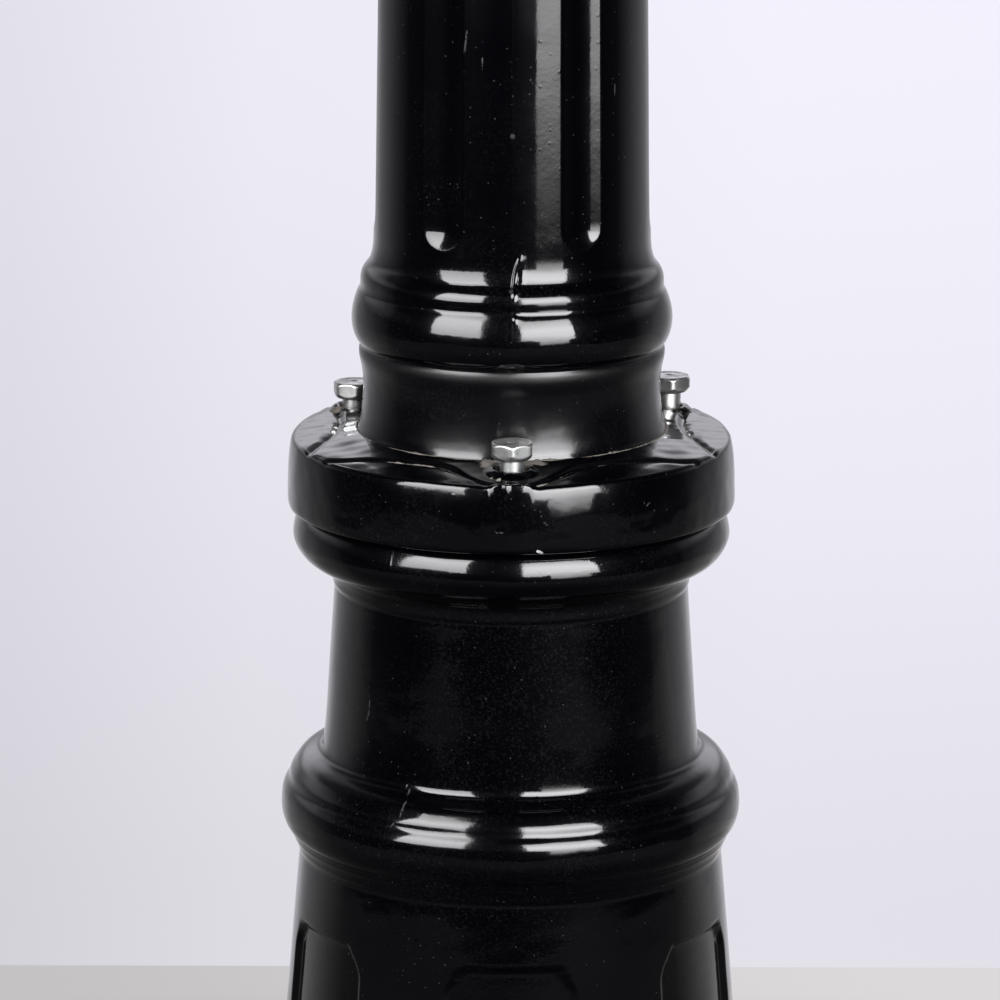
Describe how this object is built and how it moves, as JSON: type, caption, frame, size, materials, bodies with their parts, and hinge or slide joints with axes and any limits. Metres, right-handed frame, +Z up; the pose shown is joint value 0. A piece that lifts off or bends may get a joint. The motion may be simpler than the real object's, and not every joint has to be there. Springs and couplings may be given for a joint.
{
  "type": "triple head lamp post",
  "caption": "Garden lamp post with a panelled cast base, a bolted collar, a fluted column and scroll arms that carry hexagonal lanterns with hinged roofs.",
  "frame": {"origin": "on the post's axis at the underside of the foot flange, centre of the anchor bolt circle", "axes": "+Z up along the post, -Y towards the front, where one coupling bolt faces; arms at 60 degrees left and right of the front and straight back"},
  "size_m": [0.8106, 0.715, 2.311],
  "materials": {
    "cast_black": "black gloss paint on cast aluminium",
    "zinc_steel": "zinc plated steel, slightly dull",
    "pane_glass": "clear seeded glass",
    "bulb_glass": "frosted lamp glass",
    "cap_brass": "nickel-brass lamp cap",
    "porcelain": "glazed porcelain",
    "terminal_grey": "moulded",
    "steel_plate": "galvanised sheet",
    "lead_sleeve": "smooth rubber sleeve"
  },
  "bodies": {
    "root": {"arm_1": "cast_black", "arm_2": "cast_black", "arm_3": "cast_black", "arm_screws": "zinc_steel", "base_casting": "cast_black", "bulb_1": "bulb_glass", "bulb_2": "bulb_glass", "bulb_3": "bulb_glass", "bulb_cap_1": "cap_brass", "bulb_cap_2": "cap_brass", "bulb_cap_3": "cap_brass", "cable_saddle": "steel_plate", "capital": "cast_black", "capital_screws": "zinc_steel", "centre_finial": "cast_black", "clamp_collar": "cast_black", "column": "cast_black", "coupling_bolts": "zinc_steel", "earth_bolt": "zinc_steel", "frame_screws": "zinc_steel", "glass_panes_1": "pane_glass", "glass_panes_2": "pane_glass", "glass_panes_3": "pane_glass", "hinge_pins": "zinc_steel", "hub": "cast_black", "hub_screws": "zinc_steel", "lampholder_1": "porcelain", "lampholder_2": "porcelain", "lampholder_3": "porcelain", "lantern_base_1": "cast_black", "lantern_base_2": "cast_black", "lantern_base_3": "cast_black", "lantern_frame_1": "cast_black", "lantern_frame_2": "cast_black", "lantern_frame_3": "cast_black", "pane_clips_1": "zinc_steel", "pane_clips_2": "zinc_steel", "pane_clips_3": "zinc_steel", "seat_nipples": "zinc_steel", "seat_nuts": "zinc_steel", "terminal_block": "terminal_grey", "terminal_bracket": "steel_plate", "terminal_screws": "zinc_steel", "wire_1": "lead_sleeve", "wire_2": "lead_sleeve", "wire_3": "lead_sleeve"},
    "lid_1": {"roof_1": "cast_black", "vent_cap_1": "cast_black", "roof_finial_1": "cast_black", "thumbscrew_1": "zinc_steel"},
    "lid_2": {"roof_2": "cast_black", "vent_cap_2": "cast_black", "roof_finial_2": "cast_black", "thumbscrew_2": "zinc_steel"},
    "lid_3": {"roof_3": "cast_black", "vent_cap_3": "cast_black", "roof_finial_3": "cast_black", "thumbscrew_3": "zinc_steel"}
  },
  "joints": [
    {"name": "lid_hinge_1", "type": "hinge", "parent": "root", "child": "lid_1", "pos_m": [-0.37499, -0.2165, 2.097], "axis": [0.5, -0.866, 0], "range_deg": [0, 105]},
    {"name": "lid_hinge_2", "type": "hinge", "parent": "root", "child": "lid_2", "pos_m": [0.37499, -0.2165, 2.097], "axis": [0.5, 0.866, 0], "range_deg": [0, 105]},
    {"name": "lid_hinge_3", "type": "hinge", "parent": "root", "child": "lid_3", "pos_m": [0, 0.433, 2.097], "axis": [-1, 0, 0], "range_deg": [0, 105]}
  ]
}
